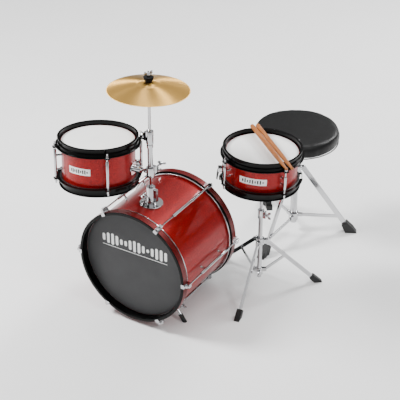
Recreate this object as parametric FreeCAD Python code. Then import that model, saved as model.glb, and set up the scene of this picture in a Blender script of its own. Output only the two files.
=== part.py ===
import FreeCAD, Part
import math
import os
from FreeCAD import Placement, Rotation, Vector

# Junior acoustic drum kit: bass drum with pedal, rack tom and cymbal on one post,
# snare drum on a tripod stand with two sticks on it, and a round throne.
# Millimetres, +Z up. While it is built, the bass drum's axis runs along Y over x = 0, with the
# front head towards -Y and the drummer on the +Y side. At the end every piece moves by -KIT_CENTRE,
# so that the origin is on the floor under the middle of the whole kit.

KIT_CENTRE = Vector(67.51, 290.39, 0.0)

# ---- bass drum, 16 inch head
BASS_AXIS_Z = 231.3
BASS_SHELL_R = 203.0
SHELL_WALL = 6.0
BASS_SHELL_HALF = 150.0
BASS_HOOP_R = 216.0
BASS_HOOP_WALL = 11.0
BASS_HOOP_EDGE = 178.0
BASS_HOOP_WIDTH = 28.0
BASS_FLESH_R = 211.6
BASS_ROD_CIRCLE_R = 226.0
BASS_LUG_ANGLES = [0, 60, 120, 180, 240, 300]
BASS_TUBE_FRONT = -78.0
BASS_TUBE_REAR = 108.0
FILM = 0.5

# ---- spurs: straight legs that slide radially through the shell
SPUR_TILT = 56.0
SPUR_Y = -78.0
SPUR_R = 5.5
SPUR_TIP_R = 8.0
SPUR_TIP_LENGTH = 31.0

# ---- small drums, 10 inch heads; z runs down from the rim
DRUM_SHELL_R = 127.0
DRUM_HOOP_R = 139.4
DRUM_LIP_R = 131.5
DRUM_HOOP_HEIGHT = 30.0
DRUM_FLANGE_R = 147.0
DRUM_EAR_R = 158.0
DRUM_ROD_CIRCLE_R = 150.0
DRUM_HEAD_DROP = 15.5
TUBE_R = 5.0
ROD_R = 2.8
ROD_BORE_R = 2.85

TOM_RIM = Vector(-185.3, -81.8, 660.9)
TOM_TILT_X = -3.02
TOM_TILT_Y = 5.47
TOM_HEIGHT = 173.2
TOM_ROD_ANGLES = [-43, 47, 137, 227]
TOM_TUBE = (38.0, 134.0)

SNARE_RIM = Vector(275.0, 251.0, 592.7)
SNARE_TILT_X = 0.98
SNARE_TILT_Y = 1.87
SNARE_HEIGHT = 144.1
SNARE_ROD_ANGLES = [-29, 61, 151, 241]
SNARE_TUBE = (50.0, 97.0)
STRAINER_ANGLE = 210.0
BUTT_ANGLE = 30.0

# ---- post for the tom and the cymbal
POST = Vector(8.5, -53.3, 0.0)
POST_THIN_R = 7.0
POST_WIDE_R = 9.25
POST_BASE_TOP = 500.0
TEE_Z = 452.5
POST_WIDE_FROM = 577.0
POST_TOP = 716.0
POST_BOTTOM = 400.0
POST_BORE_FROM = 582.0
ARM_Z = 560.0
ARM_R = 5.0
CYMBAL_ROD_R = 5.2
CYMBAL_PIVOT_Z = 899.0
CYMBAL_TILT_X = -0.72
CYMBAL_TILT_Y = 3.97
CYMBAL_R = 138.9
CYMBAL_DROP = 30.0
CYMBAL_SHEET = 1.2

# ---- tripods: flat bar legs, with each brace beside its leg
LEG_THICK = 8.0
BRACE_OFFSET = LEG_THICK / 2 + 0.6 + 1.5

# ---- snare stand
STAND = Vector(275.0, 251.3, 0.0)
STAND_FEET = [-80.56, 39.44, 159.44]
STAND_FOOT_R = 213.2
STAND_HUB_Z = 200.0
STAND_COLLAR_Z = 70.0
STAND_BRACE_AT = 0.39
STAND_STRAP = 14.0
STAND_BRACE_W = 10.0
STAND_PAD = (22.0, 20.0)
STAND_TUBE_BOTTOM = 44.0
STAND_TUBE_TOP = 322.0

# ---- throne
THRONE = Vector(200.3, 660.8, 0.0)
THRONE_FEET = [28.0, 148.0, 268.0]
THRONE_FOOT_R = 221.6
THRONE_HUB_Z = 285.0
THRONE_COLLAR_Z = 68.0
SEAT_TOP = 458.4
SEAT_R = 162.0
SEAT_THICK = 54.0
THRONE_TUBE_R = 13.5
THRONE_POST_R = 11.0
THRONE_BRACE_AT = 0.80
THRONE_STRAP = 19.0
THRONE_BRACE_W = 13.0
THRONE_PAD = (38.0, 30.0)

STICK_R = 7.9

# ---- pedal, clamped to the rear bass hoop
PEDAL_AXLE_Y = 215.0
PEDAL_AXLE_Z = 125.0
PEDAL_HEEL_Y = 420.0
PEDAL_BEATER_TILT = 38.0
PEDAL_BEATER_REACH = 128.0

X = Vector(1, 0, 0)
Y = Vector(0, 1, 0)
Z = Vector(0, 0, 1)
parts = {}


def keep(name, *solids):
    """Store a node; several solids stay separate inside it."""
    flat = []
    for solid in solids:
        flat.extend(solid.Solids)
    parts[name] = Part.makeCompound(flat) if len(flat) > 1 else flat[0]


def at(x, y, z):
    return Vector(x, y, z)


def rod(start, end, radius):
    return Part.makeCylinder(radius, (end - start).Length, start, end - start)


def block(centre, size_x, size_y, size_z):
    corner = centre - at(size_x / 2, size_y / 2, size_z / 2)
    return Part.makeBox(size_x, size_y, size_z, corner)


def join(*solids):
    shape = solids[0].fuse(list(solids[1:]))
    return shape.removeSplitter()


def turned(outline):
    """Full turn about Z of a closed outline of (radius, z) points."""
    points = [at(r, 0, z) for r, z in outline]
    face = Part.Face(Part.makePolygon(points + [points[0]]))
    return face.revolve(at(0, 0, 0), Z, 360)


def slab(outline, thickness, plane):
    """A flat plate: an outline in the plane 'yz' or 'xz', centred on the third axis."""
    half = thickness / 2
    if plane == "yz":
        points = [at(-half, a, b) for a, b in outline]
        way = X
    else:
        points = [at(a, -half, b) for a, b in outline]
        way = Y
    face = Part.Face(Part.makePolygon(points + [points[0]]))
    return face.extrude(way * thickness)


def moved(shape, placement):
    copy = shape.copy()
    copy.Placement = placement.multiply(copy.Placement)
    return copy


def spun(shape, degrees, axis=Z, centre=Vector(0, 0, 0)):
    return moved(shape, Placement(Vector(0, 0, 0), Rotation(axis, degrees), centre))


def facing(origin, direction):
    """Frame at a point, with its own Z along a direction."""
    return Placement(origin, Rotation(Z, direction))


def polar(radius, degrees, z=0.0):
    angle = math.radians(degrees)
    return at(radius * math.cos(angle), radius * math.sin(angle), z)


def tilt_frame(origin, tilt_x, tilt_y):
    """Frame at a rim centre whose Z leans by the two angles towards +X and +Y."""
    normal = at(math.tan(math.radians(tilt_x)), math.tan(math.radians(tilt_y)), 1)
    return facing(origin, normal)


def wing_nut(span, height, hub_r, bore_r):
    """Hub with two wings, standing on z = 0, hollow for its stud."""
    hub = Part.makeCylinder(hub_r, height * 0.55)
    wing = slab([(hub_r * 0.5, 1.0), (span / 2, height * 0.45), (span / 2, height),
                 (span * 0.32, height), (hub_r * 0.5, height * 0.5)], 3.0, "xz")
    nut = join(hub, wing, spun(wing, 180))
    if bore_r:
        nut = nut.cut(Part.makeCylinder(bore_r, height * 2, at(0, 0, -1)))
    return nut


def wing_screw(tip, outward, shank, shank_r, span):
    """A wing screw whose shank starts at a tip point and leaves in the outward direction."""
    body = Part.makeCylinder(shank_r, shank + 1.0)
    head = moved(wing_nut(span, 16.0, 5.5, 0), Placement(at(0, 0, shank), Rotation()))
    return moved(join(body, head), facing(tip, outward))


# ---------------------------------------------------------------- bass drum

def bass_frame():
    """Local z along the bass drum's axis (world Y), local y down."""
    return Placement(at(0, 0, BASS_AXIS_Z), Rotation(X, -90))


def bass_turned(outline):
    return moved(turned(outline), bass_frame())


def mirrored_y(shape):
    return shape.mirror(at(0, 0, 0), Y)


def around_bass(shape, degrees):
    """Turn a piece drawn at the top of the bass drum to an angle measured from +X."""
    return spun(shape, 90 - degrees, Y, at(0, 0, BASS_AXIS_Z))


def bass_radial(radius, degrees, y):
    angle = math.radians(degrees)
    return at(radius * math.cos(angle), y, BASS_AXIS_Z + radius * math.sin(angle))


def bass_cylinder(radius):
    return rod(at(0, -300, BASS_AXIS_Z), at(0, 300, BASS_AXIS_Z), radius)


def spur_angle(side):
    return -SPUR_TILT if side > 0 else 180 + SPUR_TILT


def spur_point(side, radius):
    return bass_radial(radius, spur_angle(side), SPUR_Y)


def spur_tip_radius():
    """Distance from the drum's axis to the floor along a spur."""
    return BASS_AXIS_Z / math.sin(math.radians(SPUR_TILT))


def bass_shell():
    inner = BASS_SHELL_R - SHELL_WALL
    half = BASS_SHELL_HALF
    shell = bass_turned([(inner, -half), (BASS_SHELL_R, -half), (BASS_SHELL_R, half), (inner, half)])
    for side in (1, -1):
        shell = shell.cut(rod(spur_point(side, 150), spur_point(side, 260), SPUR_R + 0.6))
    return shell.cut(rod(post_point(400), post_point(460), POST_THIN_R + 0.6))


def bass_hoop():
    outer = BASS_HOOP_R
    inner = outer - BASS_HOOP_WALL
    front = -BASS_HOOP_EDGE
    back = front + BASS_HOOP_WIDTH
    return bass_turned([(inner, front), (outer - 1.5, front), (outer, front + 1.5), (outer, back),
                        (inner, back)])


def bass_head():
    """Film over the shell's edge, with its metal flesh hoop outside the shell."""
    edge = -BASS_SHELL_HALF
    collar = BASS_SHELL_R + 0.4
    ring_front = edge + 0.2
    return bass_turned([(0.001, edge - FILM), (collar + 0.8, edge - FILM), (collar + 0.8, ring_front),
                        (BASS_FLESH_R, ring_front), (BASS_FLESH_R, edge + 8.0), (collar, edge + 8.0),
                        (collar, edge), (0.001, edge)])


def bass_claw():
    """Hook over the front hoop at the top of the drum, with a boss for its rod."""
    front = -BASS_HOOP_EDGE
    outer = BASS_HOOP_R + 0.2
    profile = [(front - 3.2, outer - 9), (front - 3.2, outer + 3.2), (front + 10, outer + 3.2),
               (front + 12, outer + 17), (front + 24, outer + 17), (front + 28, outer + 3.2),
               (front + 28, outer), (front - 0.2, outer), (front - 0.2, outer - 9)]
    claw = slab([(y, BASS_AXIS_Z + r) for y, r in profile], 15.0, "yz")
    hole = rod(bass_radial(BASS_ROD_CIRCLE_R, 90, front - 10), bass_radial(BASS_ROD_CIRCLE_R, 90, -100),
               ROD_R + 0.4)
    return claw.cut(hole)


def bass_rod():
    """Tension rod with its head in front of the claw's boss."""
    front = -BASS_HOOP_EDGE
    radius = BASS_ROD_CIRCLE_R
    head = rod(bass_radial(radius, 90, front + 2), bass_radial(radius, 90, front + 8), 4.4)
    washer = rod(bass_radial(radius, 90, front + 8), bass_radial(radius, 90, front + 9.4), 6.0)
    shank = rod(bass_radial(radius, 90, front + 9.4), bass_radial(radius, 90, BASS_TUBE_FRONT + 20), ROD_R)
    return join(head, washer, shank)


def bass_rear_rod():
    """The same rod for the rear hoop, which reaches further back to the tube."""
    rear = BASS_HOOP_EDGE
    radius = BASS_ROD_CIRCLE_R
    head = rod(bass_radial(radius, 90, rear - 8), bass_radial(radius, 90, rear - 2), 4.4)
    washer = rod(bass_radial(radius, 90, rear - 9.4), bass_radial(radius, 90, rear - 8), 6.0)
    shank = rod(bass_radial(radius, 90, BASS_TUBE_REAR - 20), bass_radial(radius, 90, rear - 9.4), ROD_R)
    return join(head, washer, shank)


def bass_tube():
    """Tube lug that both rods screw into, on two feet bolted to the shell."""
    radius = BASS_ROD_CIRCLE_R
    start = bass_radial(radius, 90, BASS_TUBE_FRONT)
    end = bass_radial(radius, 90, BASS_TUBE_REAR)
    tube = rod(start, end, TUBE_R)
    for y in (BASS_TUBE_FRONT + 35, BASS_TUBE_REAR - 35):
        foot = rod(bass_radial(BASS_SHELL_R - 5, 90, y), bass_radial(radius, 90, y), 4.0)
        plate = rod(bass_radial(BASS_SHELL_R - 5, 90, y), bass_radial(BASS_SHELL_R + 1.6, 90, y), 4.6)
        tube = tube.fuse([foot, plate])
    tube = tube.cut(bass_cylinder(BASS_SHELL_R))
    bores = [rod(start - Y, start + Y * 24, ROD_BORE_R), rod(end - Y * 24, end + Y, ROD_BORE_R)]
    return tube.cut(bores).removeSplitter()


def spur_bracket(side):
    """Round boss on the shell that the spur slides through, with an ear for the wing bolt."""
    inner = spur_point(side, BASS_SHELL_R - 8)
    boss = rod(inner, spur_point(side, 226), 9.5)
    plate = rod(inner, spur_point(side, 208), 15.0)
    across = spur_across(side)
    ear = rod(spur_point(side, 218), spur_point(side, 218) + across * 20, 6.5)
    bracket = join(boss, plate, ear)
    bracket = bracket.cut(bass_cylinder(BASS_SHELL_R))
    bracket = bracket.cut(rod(spur_point(side, 180), spur_point(side, 260), SPUR_R + 0.08))
    bolt = spur_point(side, 218)
    return bracket.cut(rod(bolt, bolt + across * 40, 3.08))


def spur_across(side):
    """Direction of a spur's wing bolt: around the shell, up and outwards."""
    angle = math.radians(SPUR_TILT)
    return at(side * math.sin(angle), 0, math.cos(angle))


def spur_leg(side):
    """Steel leg through the shell, with a rubber tip cut level with the floor."""
    tip_r = spur_tip_radius()
    top = spur_point(side, 158)
    leg = rod(top, spur_point(side, tip_r - 6), SPUR_R)
    tip = rod(spur_point(side, tip_r - SPUR_TIP_LENGTH), spur_point(side, tip_r + 8), SPUR_TIP_R)
    tip = tip.cut(block(at(side * 160, SPUR_Y, -50), 200, 100, 100))
    return join(leg, tip)


def spur_wing(side):
    tip = spur_point(side, 218) + spur_across(side) * (SPUR_R + 0.6)
    return wing_screw(tip, spur_across(side), 21.0, 3.0, 26.0)


def make_bass():
    hoop = bass_hoop()
    claws = []
    rods = []
    tubes = []
    rear_claw = mirrored_y(bass_claw())
    for degrees in BASS_LUG_ANGLES:
        claws += [around_bass(bass_claw(), degrees), around_bass(rear_claw, degrees)]
        rods += [around_bass(bass_rod(), degrees), around_bass(bass_rear_rod(), degrees)]
        tubes.append(around_bass(bass_tube(), degrees))
    keep("bass_shell", bass_shell())
    keep("bass_hoops", hoop, mirrored_y(hoop))
    keep("bass_heads", bass_head(), mirrored_y(bass_head()))
    keep("bass_claw_hooks", *claws)
    keep("bass_lugs", *tubes, *rods)
    keep("spur_brackets", spur_bracket(1), spur_bracket(-1))
    keep("spur_leg_left", spur_leg(1))
    keep("spur_leg_right", spur_leg(-1))
    keep("spur_wing_bolt_left", spur_wing(1))
    keep("spur_wing_bolt_right", spur_wing(-1))


# ---------------------------------------------------------------- post, tom arm and cymbal

def post_point(z, dx=0.0, dy=0.0):
    return POST + at(dx, dy, z)


def tom_mount_base():
    """Saddle flange on the bass drum with a split receiver for the post."""
    flange = rod(post_point(415), post_point(437), 41.0)
    tower = rod(post_point(430), post_point(POST_BASE_TOP), 15.0)
    cheek = block(post_point(470, 14), 22, 14, 46)
    tee_boss = rod(post_point(TEE_Z), post_point(TEE_Z, -22), 8.0)
    base = join(flange, tower, cheek, tee_boss)
    base = base.cut(bass_cylinder(BASS_SHELL_R))
    base = base.cut(rod(post_point(400), post_point(600), POST_THIN_R + 0.08))
    base = base.cut(rod(post_point(TEE_Z), post_point(TEE_Z, -60), 3.58))
    return base


def base_tee():
    """Screw with a cross handle that locks the post's height."""
    shank = rod(post_point(TEE_Z, -POST_THIN_R - 0.7), post_point(TEE_Z, -36), 3.5)
    bar = rod(post_point(TEE_Z, -36, -10), post_point(TEE_Z, -36, 10), 3.6)
    knobs = [rod(post_point(TEE_Z, -36, s * 10), post_point(TEE_Z, -36, s * 15), 5.0) for s in (1, -1)]
    return join(shank, bar, *knobs)


def center_post():
    """Thin lower tube in the receiver, wide upper tube with the clamp for the cymbal rod."""
    thin = rod(post_point(POST_BOTTOM), post_point(POST_WIDE_FROM + 2), POST_THIN_R)
    wide = rod(post_point(POST_WIDE_FROM), post_point(POST_TOP - 4), POST_WIDE_R)
    collar = rod(post_point(POST_TOP - 46), post_point(POST_TOP), 13.0)
    lower_band = rod(post_point(POST_TOP - 62), post_point(POST_TOP - 50), 11.2)
    ear = block(post_point(POST_TOP - 23, -14), 16, 13, 30)
    post = join(thin, wide, collar, lower_band, ear)
    post = post.cut(rod(post_point(POST_BORE_FROM), post_point(POST_TOP + 5), CYMBAL_ROD_R + 0.08))
    screw_z = POST_TOP - 23
    return post.cut(rod(post_point(screw_z), post_point(screw_z, -60), 3.08))


def post_clamp_wing():
    z = POST_TOP - 23
    return wing_screw(post_point(z, -CYMBAL_ROD_R - 0.7), X * -1, 18.5, 3.0, 26.0)


def arm_direction():
    """Level direction from the post to the tom's axis at the arm's height."""
    frame = tilt_frame(TOM_RIM, TOM_TILT_X, TOM_TILT_Y)
    down = frame.Rotation.multVec(Z * -1)
    foot = TOM_RIM + down * ((TOM_RIM.z - ARM_Z) / -down.z)
    level = foot - post_point(ARM_Z)
    return level * (1.0 / level.Length), level.Length


def tom_arm():
    """Clamp around the thin tube with the short arm that carries the tom."""
    way, reach = arm_direction()
    top = POST_WIDE_FROM - 0.6
    clamp = rod(post_point(ARM_Z - 18), post_point(top), 14.5)
    centre = post_point(ARM_Z)
    lug = block(post_point(ARM_Z - 1, 0, 18), 17, 18, 26)
    arm = rod(centre, centre + way * (reach - DRUM_SHELL_R - 4), ARM_R)
    collar = rod(centre, centre + way * 21, 8.0)
    holder = join(clamp, lug, arm, collar)
    holder = holder.cut(rod(post_point(500), post_point(620), POST_THIN_R + 0.08))
    return holder.cut(rod(post_point(ARM_Z), post_point(ARM_Z, 0, 60), 3.08))


def arm_clamp_wing():
    return wing_screw(post_point(ARM_Z, 0, POST_THIN_R + 0.7), Y, 52.0, 3.0, 30.0)


def cymbal_rod():
    """Rod in the post, stepped down to a stud for the cymbal."""
    thick = rod(post_point(630), post_point(CYMBAL_PIVOT_Z - 20), CYMBAL_ROD_R)
    shoulder = rod(post_point(CYMBAL_PIVOT_Z - 20), post_point(CYMBAL_PIVOT_Z - 14), 7.5)
    stud = rod(post_point(CYMBAL_PIVOT_Z - 14), post_point(CYMBAL_PIVOT_Z + 37), 3.0)
    return join(thick, shoulder, stud)


def cymbal_frame():
    return tilt_frame(post_point(CYMBAL_PIVOT_Z), CYMBAL_TILT_X, CYMBAL_TILT_Y)


def cymbal_curve(r):
    """Height of the cymbal's upper face below the bell's top, at a radius."""
    if r < 40.0:
        return -14.0 * (1 - math.sqrt(max(0.0, 1 - (r / 46.0) ** 2)))
    bell = -14.0 * (1 - math.sqrt(1 - (40.0 / 46.0) ** 2))
    share = (r - 40.0) / (CYMBAL_R - 40.0)
    return bell + (-CYMBAL_DROP - bell) * (0.75 * share + 0.25 * share * share)


def cymbal():
    """Sheet bronze disc: bell, bow and centre hole."""
    radii = [6.5, 12, 18, 24, 30, 35, 40, 55, 75, 95, 115, CYMBAL_R]
    upper = [(r, cymbal_curve(r)) for r in radii]
    lower = [(r, z - CYMBAL_SHEET) for r, z in reversed(upper)]
    return moved(turned(upper + lower), cymbal_frame())


def cymbal_washers():
    """Rubber cup above the bell and felt below it."""
    cup = turned([(5.8, 1.0), (12.5, 1.0), (17.5, 15.0), (17.5, 17.0), (5.8, 17.0)])
    felt = turned([(5.8, -9.5), (12.0, -9.5), (12.0, -3.4), (5.8, -3.4)])
    return moved(cup, cymbal_frame()), moved(felt, cymbal_frame())


def cymbal_wing_nut():
    nut = wing_nut(30.0, 17.0, 6.0, 3.05)
    return moved(nut, Placement(post_point(CYMBAL_PIVOT_Z + 20.0), Rotation(Z, 60)))


def make_post():
    keep("tom_mount_base", tom_mount_base())
    keep("base_tee_screw", base_tee())
    keep("center_post", center_post())
    keep("post_clamp_wing", post_clamp_wing())
    keep("tom_arm", tom_arm())
    keep("arm_clamp_wing", arm_clamp_wing())
    keep("cymbal_rod", cymbal_rod())
    keep("cymbal_washers", *cymbal_washers())
    keep("cymbal", cymbal())
    keep("cymbal_wing_nut", cymbal_wing_nut())


# ---------------------------------------------------------------- tom and snare drums

def drum_shell(height):
    inner = DRUM_SHELL_R - SHELL_WALL
    top = -DRUM_HEAD_DROP - FILM
    bottom = DRUM_HEAD_DROP + FILM - height
    return turned([(inner, top), (DRUM_SHELL_R, top), (DRUM_SHELL_R, bottom), (inner, bottom)])


def drum_hoop(angles):
    """Flanged steel hoop: rolled lip, step over the flesh hoop, outer flange with ears."""
    lip = DRUM_LIP_R
    outer = DRUM_HOOP_R
    low = -DRUM_HOOP_HEIGHT
    hoop = turned([(lip, 0), (outer, 0), (outer, -2.5), (lip + 2.5, -2.5), (lip + 2.5, -17),
                   (outer, -17), (outer, low + 2.6), (DRUM_FLANGE_R, low + 2.6), (DRUM_FLANGE_R, low),
                   (outer - 2.6, low), (outer - 2.6, -19.5), (lip, -19.5)])
    ears = []
    for degrees in angles:
        ear = block(at((outer + DRUM_EAR_R) / 2, 0, low + 1.5), DRUM_EAR_R - outer, 19.0, 3.0)
        ears.append(spun(ear, degrees))
    hoop = hoop.fuse(ears)
    holes = [rod(polar(DRUM_ROD_CIRCLE_R, a, low - 5), polar(DRUM_ROD_CIRCLE_R, a, 0), ROD_R + 0.4)
             for a in angles]
    return hoop.cut(holes).removeSplitter()


def drum_head():
    """Film with its metal flesh hoop, just under the hoop's step."""
    top = -DRUM_HEAD_DROP
    collar = DRUM_SHELL_R + 0.4
    return turned([(0.001, top), (collar + 0.8, top), (collar + 0.8, -19.9), (135.5, -19.9),
                   (135.5, -29.0), (collar, -29.0), (collar, top - FILM), (0.001, top - FILM)])


def drum_rod(length_to):
    """Tension rod at angle 0: drum-key head above the ear, shank down into the tube."""
    radius = DRUM_ROD_CIRCLE_R
    ear_top = 3.0 - DRUM_HOOP_HEIGHT
    head = rod(at(radius, 0, ear_top + 1.6), at(radius, 0, ear_top + 10), 4.4)
    square = block(at(radius, 0, ear_top + 13), 5.0, 5.0, 8.0)
    washer = rod(at(radius, 0, ear_top), at(radius, 0, ear_top + 1.6), 6.2)
    shank = rod(at(radius, 0, ear_top), at(radius, 0, -length_to), ROD_R)
    return join(head, square, washer, shank)


def drum_tube(top, bottom):
    """Tube lug at angle 0 on two feet."""
    radius = DRUM_ROD_CIRCLE_R
    tube = rod(at(radius, 0, -top), at(radius, 0, -bottom), TUBE_R)
    inset = min(22.0, (bottom - top) * 0.25)
    for z in (-top - inset, -bottom + inset):
        foot = rod(at(DRUM_SHELL_R - 4, 0, z), at(radius, 0, z), 3.6)
        plate = rod(at(DRUM_SHELL_R - 4, 0, z), at(DRUM_SHELL_R + 1.4, 0, z), 4.2)
        tube = tube.fuse([foot, plate])
    tube = tube.cut(rod(at(0, 0, 10), at(0, 0, -300), DRUM_SHELL_R))
    bores = [rod(at(radius, 0, 1 - top), at(radius, 0, -top - 16), ROD_BORE_R),
             rod(at(radius, 0, 16 - bottom), at(radius, 0, -bottom - 1), ROD_BORE_R)]
    return tube.cut(bores).removeSplitter()


def flipped(shape, height):
    """Mirror a drum piece from the top end to the bottom end."""
    return shape.mirror(at(0, 0, -height / 2), Z)


def make_drum(name, frame, height, angles, tube_span, gates):
    """Shell, hoops, heads and lugs of a small drum; gates are angles cut for snare straps."""
    top_hoop = drum_hoop(angles)
    bottom_hoop = flipped(top_hoop, height)
    for degrees in gates:
        gate = block(at(139, 0, 21 - height), 26, 34, 30)
        bottom_hoop = bottom_hoop.cut(spun(gate, degrees))
    lugs = []
    for degrees in angles:
        pieces = [drum_tube(*tube_span), drum_rod(tube_span[0] + 12),
                  flipped(drum_rod(height - tube_span[1] + 12), height)]
        lugs += [spun(piece, degrees) for piece in pieces]
    keep(name + "_shell", moved(drum_shell(height), frame))
    keep(name + "_hoops", moved(top_hoop, frame), moved(bottom_hoop, frame))
    keep(name + "_heads", moved(drum_head(), frame), moved(flipped(drum_head(), height), frame))
    keep(name + "_lugs", *[moved(piece, frame) for piece in lugs])


def tom_frame():
    return tilt_frame(TOM_RIM, TOM_TILT_X, TOM_TILT_Y)


def tom_bracket():
    """Plate on the tom's shell with a boss that the arm slides into."""
    way, reach = arm_direction()
    centre = post_point(ARM_Z)
    boss = rod(centre + way * (reach - 156), centre + way * (reach - 120), 11.0)
    plate = rod(centre + way * (reach - 131), centre + way * (reach - 118), 24.0)
    ear_root = centre + way * (reach - 147)
    ear = rod(ear_root, ear_root + Z * 17, 6.5)
    shell = moved(rod(at(0, 0, 10), at(0, 0, -300), DRUM_SHELL_R + 0.02), tom_frame())
    bracket = join(boss, plate, ear).cut(shell)
    bracket = bracket.cut(rod(centre, centre + way * (reach - DRUM_SHELL_R - 2), ARM_R + 0.08))
    return bracket.cut(rod(ear_root, ear_root + Z * 30, 3.08))


def tom_bracket_wing():
    way, reach = arm_direction()
    root = post_point(ARM_Z) + way * (reach - 147) + Z * (ARM_R + 0.7)
    return wing_screw(root, Z, 14.0, 3.0, 24.0)


def make_tom():
    make_drum("tom", tom_frame(), TOM_HEIGHT, TOM_ROD_ANGLES, TOM_TUBE, [])
    keep("tom_bracket", tom_bracket())
    keep("tom_bracket_wing", tom_bracket_wing())


def snare_frame():
    return tilt_frame(SNARE_RIM, SNARE_TILT_X, SNARE_TILT_Y)


def on_shell(shape, degrees):
    """Trim a piece drawn at angle 0 to the small shell, then turn it round the drum."""
    trimmed = shape.cut(rod(at(0, 0, 10), at(0, 0, -300), DRUM_SHELL_R))
    return moved(spun(trimmed, degrees), snare_frame())


def strainer_body():
    body = block(at(130, 0, -85), 16, 26, 44)
    cheeks = [block(at(144, s * 10.5, -97), 16, 4, 14) for s in (1, -1)]
    pin = rod(at(146.5, -12.5, -97), at(146.5, 12.5, -97), 2.0)
    return on_shell(join(body, *cheeks, pin), STRAINER_ANGLE)


def strainer_lever():
    """Throw-off lever, which hangs beside the lower hoop while the wires are on."""
    hub = rod(at(146.5, -8.0, -97), at(146.5, 8.0, -97), 4.6)
    arm = slab([(145.0, -99), (149.0, -93), (155.0, -105), (157.0, -134), (152.0, -138), (149.0, -113)],
               14.0, "xz")
    lever = join(hub, arm).cut(rod(at(146.5, -20, -97), at(146.5, 20, -97), 2.08))
    return on_shell(lever, STRAINER_ANGLE)


def snare_butt_plate():
    body = block(at(130, 0, -80), 14, 34, 20)
    screws = [rod(at(136, s * 9, -80), at(140, s * 9, -80), 3.5) for s in (1, -1)]
    return on_shell(join(body, *screws), BUTT_ANGLE)


def snare_wires():
    """Ten wires between two end plates under the lower head, with straps out through the gates."""
    under = 14.6 - SNARE_HEIGHT
    wires = [rod(at(-92, y, under), at(92, y, under), 0.7) for y in [-18 + 4 * i for i in range(10)]]
    plates = [block(at(s * 92, 0, under - 0.9), 12, 46, 1.6) for s in (1, -1)]
    band = join(*plates, *wires)
    straps = [block(at(s * 121, 0, under - 0.9), 46, 22, 0.8) for s in (1, -1)]
    tails = [block(at(s * 143.6, 0, under + 11.1), 0.8, 22, 24.8) for s in (1, -1)]
    whole = join(band, *straps, *tails)
    return moved(spun(whole, BUTT_ANGLE), snare_frame())


def make_snare():
    make_drum("snare", snare_frame(), SNARE_HEIGHT, SNARE_ROD_ANGLES, SNARE_TUBE,
              [STRAINER_ANGLE, BUTT_ANGLE])
    keep("snare_wires", snare_wires())
    keep("strainer_and_butt", strainer_body(), snare_butt_plate())
    keep("strainer_lever", strainer_lever())


# ---------------------------------------------------------------- tripods

def tripod_points(hub_z, hub_r, foot_r, share, collar_z, collar_r):
    """Pivots in a leg's own radial plane: hub, brace pivot on the leg, foot, collar."""
    hub = (hub_r, hub_z)
    foot = (foot_r, 10.0)
    joint = (hub_r + (foot_r - hub_r) * share, hub_z + (foot[1] - hub_z) * share)
    return {"hub": hub, "foot": foot, "joint": joint, "collar": (collar_r, collar_z)}


def radial(axis, degrees, plane_point, side=0.0):
    """A (radius, z) point of a leg's plane in the kit frame, moved sideways by side."""
    angle = math.radians(degrees)
    out = at(math.cos(angle), math.sin(angle), 0)
    across = at(-math.sin(angle), math.cos(angle), 0)
    return axis + out * plane_point[0] + across * side + Z * plane_point[1]


def tripod_leg(axis, degrees, points, width, foot_size, foot_h):
    """Flat bar leg with a round eye at the hub and a flared rubber foot flat on the floor."""
    hub = radial(axis, degrees, points["hub"])
    foot = radial(axis, degrees, points["foot"])
    across = radial(axis, degrees, (0, 0), 1.0) - axis
    bar = strap_bar(hub, foot, across, width, LEG_THICK)
    pad = rubber_foot(hub, foot, across, width, foot_size, foot_h)
    pin = rod(hub - across * 20, hub + across * 20, 2.08)
    return join(bar, pad).cut(pin)


def rubber_foot(hub, foot, across, width, foot_size, foot_h):
    """Rubber block round the leg's end: it flares towards the floor and is cut level with it."""
    flare, thick = foot_size
    top = width / 2 + 3.0
    outline = [(-foot_h, -top), (0, -flare / 2), (40, -flare / 2), (40, flare / 2), (0, flare / 2),
               (-foot_h, top)]
    points = [at(x, y, -thick / 2) for x, y in outline]
    face = Part.Face(Part.makePolygon(points + [points[0]]))
    way = foot - hub
    frame = Placement(foot, Rotation(way, across.cross(way), across, "XZY"))
    pad = moved(face.extrude(Z * thick), frame)
    return pad.cut(block(at(foot.x, foot.y, -100), 300, 300, 200))


def tripod_brace(axis, degrees, points, width):
    """Flat bar beside the leg; a rivet head marks its pivot, which is open by a small gap."""
    offset = BRACE_OFFSET
    start = radial(axis, degrees, points["collar"], offset)
    end = radial(axis, degrees, points["joint"], offset)
    across = radial(axis, degrees, (0, 0), 1.0) - axis
    bar = strap_bar(start, end, across, width, 3.0)
    rivet = rod(end + across * 1.5, end + across * 3.5, 4.0)
    hole = rod(start - across * 9, start + across * 9, 2.08)
    return join(bar, rivet).cut(hole)


def strap_bar(start, end, across, width, thick):
    """Flat bar with round ends between two points, its faces square to 'across'."""
    way = end - start
    length = way.Length
    half = width / 2
    frame = Placement(start, Rotation(way, across.cross(way), across, "XZY"))
    bar = Part.makeBox(length, width, thick, at(0, -half, -thick / 2))
    ends = [Part.makeCylinder(half, thick, at(x, 0, -thick / 2)) for x in (0, length)]
    return moved(join(bar, *ends), frame)


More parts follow.
